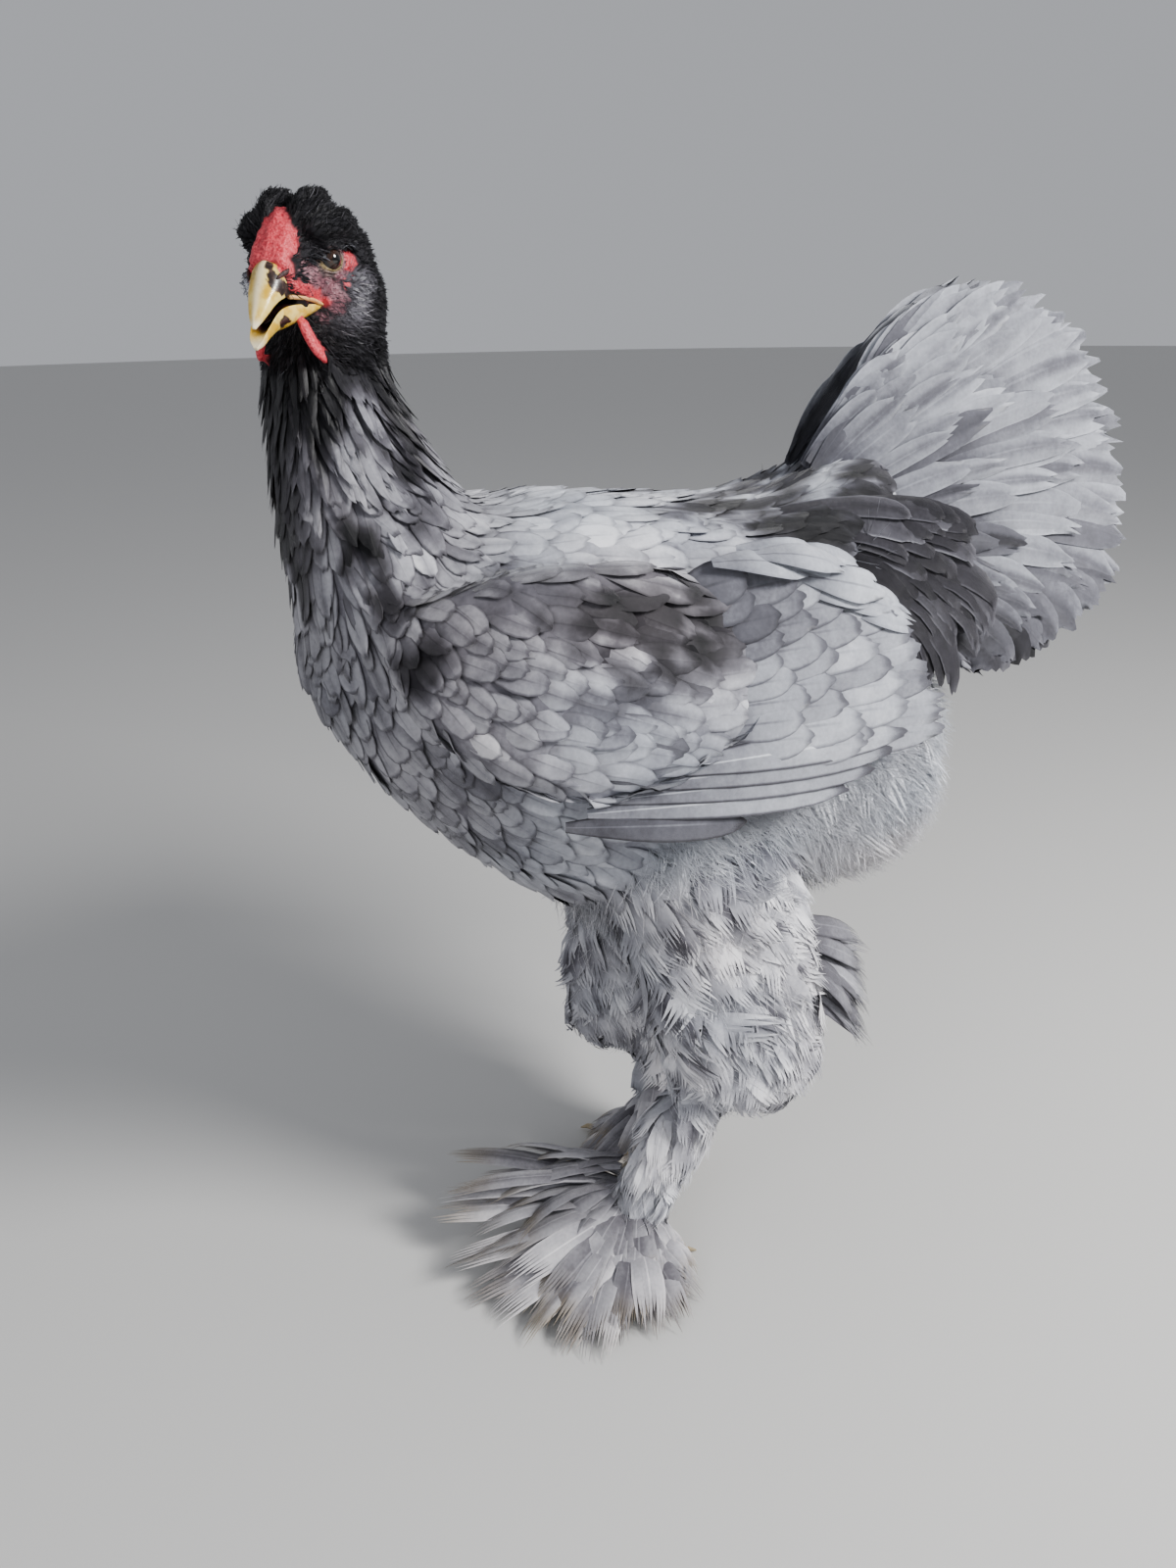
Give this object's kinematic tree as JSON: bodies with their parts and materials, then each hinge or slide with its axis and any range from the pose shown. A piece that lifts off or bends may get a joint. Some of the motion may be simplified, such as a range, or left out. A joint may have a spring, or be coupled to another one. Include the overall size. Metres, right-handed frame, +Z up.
{
  "type": "chicken, standing model",
  "caption": "Life-size model of a standing blue brahma cockerel with a pea comb, open bill, folded wings, fanned tail and feathered feet, for display.",
  "frame": {"origin": "centre of the bird's box, on the floor below it", "axes": "+Z up, the bird's breast faces -Y, and its left side is +X"},
  "size_m": [0.29, 0.5764, 0.6998],
  "materials": {
    "black_plumage": "black feathers with a slight blue sheen",
    "slate_plumage": "dark slate-grey feathers",
    "blue_plumage": "soft blue-grey feathers",
    "silver_plumage": "pale silver-grey feathers",
    "red_flesh": "dull, finely pebbled skin",
    "bill_horn": "smooth horn with a low sheen",
    "claw_horn": "smooth horn",
    "toe_skin": "scaly skin",
    "eye": "wet gloss"
  },
  "bodies": {
    "root": {"eye_left": "eye", "eye_right": "eye", "ear_lobe_left": "black_plumage", "ear_lobe_right": "black_plumage", "wattle_left": "red_flesh", "wattle_right": "red_flesh", "wing_left": "blue_plumage", "wing_right": "blue_plumage", "head": "black_plumage", "neck": "slate_plumage", "saddle": "blue_plumage", "trunk": "blue_plumage", "stern_fluff": "silver_plumage", "comb": "red_flesh", "bill_upper": "bill_horn", "bill_lower": "bill_horn", "thigh_left": "blue_plumage", "thigh_right": "blue_plumage", "wing_primaries_left": "silver_plumage", "wing_primaries_right": "silver_plumage", "wing_secondaries_left": "silver_plumage", "wing_secondaries_right": "silver_plumage", "tail_coverts_left": "slate_plumage", "tail_coverts_right": "slate_plumage", "tail_left": "silver_plumage", "tail_right": "silver_plumage", "tail_cushion": "blue_plumage", "hock_tuft_left": "slate_plumage", "hock_tuft_right": "slate_plumage", "shank_left": "silver_plumage", "shank_right": "silver_plumage", "claw_left_middle": "claw_horn", "claw_left_inner": "claw_horn", "claw_left_outer": "claw_horn", "claw_left_back": "claw_horn", "foot_left": "toe_skin", "foot_feathers_left": "silver_plumage", "claw_right_middle": "claw_horn", "claw_right_inner": "claw_horn", "claw_right_outer": "claw_horn", "claw_right_back": "claw_horn", "foot_right": "toe_skin", "foot_feathers_right": "silver_plumage"}
  },
  "joints": []
}
